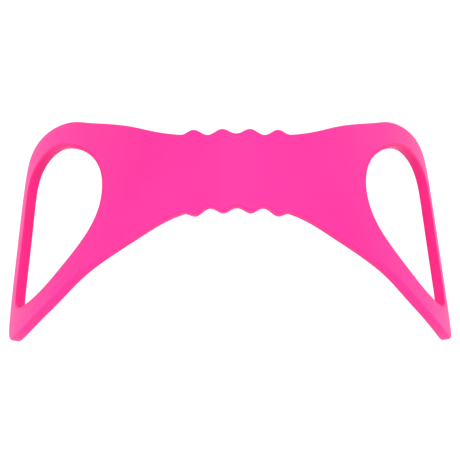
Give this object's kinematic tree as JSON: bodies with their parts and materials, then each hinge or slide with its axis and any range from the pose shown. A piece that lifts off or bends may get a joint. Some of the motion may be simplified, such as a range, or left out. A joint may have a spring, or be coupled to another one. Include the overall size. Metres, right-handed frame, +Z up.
{
  "type": "swim pull strap",
  "caption": "Figure-eight silicone swim training strap: a ribbed, flexible waist with an ankle loop at each end, bent into an arch that stands on its two end bands.",
  "frame": {"origin": "middle of the strap's footprint, on the floor", "axes": "+X to the right-hand loop, +Z up through the convex front of the waist, +Y across the strap to its upper edge"},
  "size_m": [0.2136, 0.103, 0.1106],
  "materials": {
    "silicone": "satin, hot pink silicone"
  },
  "bodies": {
    "waist_inner_left": {"waist_rib_2": "silicone"},
    "waist_inner_right": {"waist_rib_3": "silicone"},
    "waist_outer_right": {"waist_rib_4": "silicone"},
    "waist_outer_left": {"waist_rib_1": "silicone"},
    "right_web": {"right_wing": "silicone"},
    "left_web": {"left_wing": "silicone"},
    "right_loop": {"right_upper_limb": "silicone", "right_lower_limb": "silicone", "right_end_band": "silicone"},
    "left_loop": {"left_upper_limb": "silicone", "left_lower_limb": "silicone", "left_end_band": "silicone"}
  },
  "joints": [
    {"name": "waist_flex_centre", "type": "hinge", "parent": "waist_inner_left", "child": "waist_inner_right", "pos_m": [0, -0.0058, 0.10659], "axis": [0, 0.9939, 0.1106], "range_deg": [-45, 10], "stiffness_Nm_per_rad": 0.34, "springref_deg": 2.01},
    {"name": "waist_flex_right_inner", "type": "hinge", "parent": "waist_inner_right", "child": "waist_outer_right", "pos_m": [0.01251, -0.00565, 0.10529], "axis": [0, 0.9939, 0.1106], "range_deg": [-45, 10], "stiffness_Nm_per_rad": 0.34, "springref_deg": 2.01},
    {"name": "waist_flex_right_outer", "type": "hinge", "parent": "waist_outer_right", "child": "right_web", "pos_m": [0.02456, -0.00525, 0.10169], "axis": [0, 0.9939, 0.1106], "range_deg": [-45, 10], "stiffness_Nm_per_rad": 0.34, "springref_deg": 2.01},
    {"name": "waist_flex_left_inner", "type": "hinge", "parent": "waist_inner_left", "child": "waist_outer_left", "pos_m": [-0.01251, -0.00565, 0.10529], "axis": [0, -0.9939, -0.1106], "range_deg": [-45, 10], "stiffness_Nm_per_rad": 0.34, "springref_deg": 2.01},
    {"name": "waist_flex_left_outer", "type": "hinge", "parent": "waist_outer_left", "child": "left_web", "pos_m": [-0.02456, -0.00525, 0.10169], "axis": [0, -0.9939, -0.1106], "range_deg": [-45, 10], "stiffness_Nm_per_rad": 0.34, "springref_deg": 2.01},
    {"name": "right_loop_flex", "type": "hinge", "parent": "right_web", "child": "right_loop", "pos_m": [0.06404, -0.00251, 0.07381], "axis": [-0.0803, 0.9968, 0.0022], "range_deg": [-40, 25], "stiffness_Nm_per_rad": 0.13, "springref_deg": 3.09},
    {"name": "left_loop_flex", "type": "hinge", "parent": "left_web", "child": "left_loop", "pos_m": [-0.06404, -0.00251, 0.07381], "axis": [-0.0803, -0.9968, -0.0022], "range_deg": [-40, 25], "stiffness_Nm_per_rad": 0.13, "springref_deg": 3.09}
  ],
  "couplings": [
    {"joint": "waist_flex_right_inner", "follows": "waist_flex_centre", "ratio": 1},
    {"joint": "waist_flex_right_outer", "follows": "waist_flex_centre", "ratio": 1},
    {"joint": "waist_flex_left_inner", "follows": "waist_flex_centre", "ratio": 1},
    {"joint": "waist_flex_left_outer", "follows": "waist_flex_centre", "ratio": 1}
  ]
}
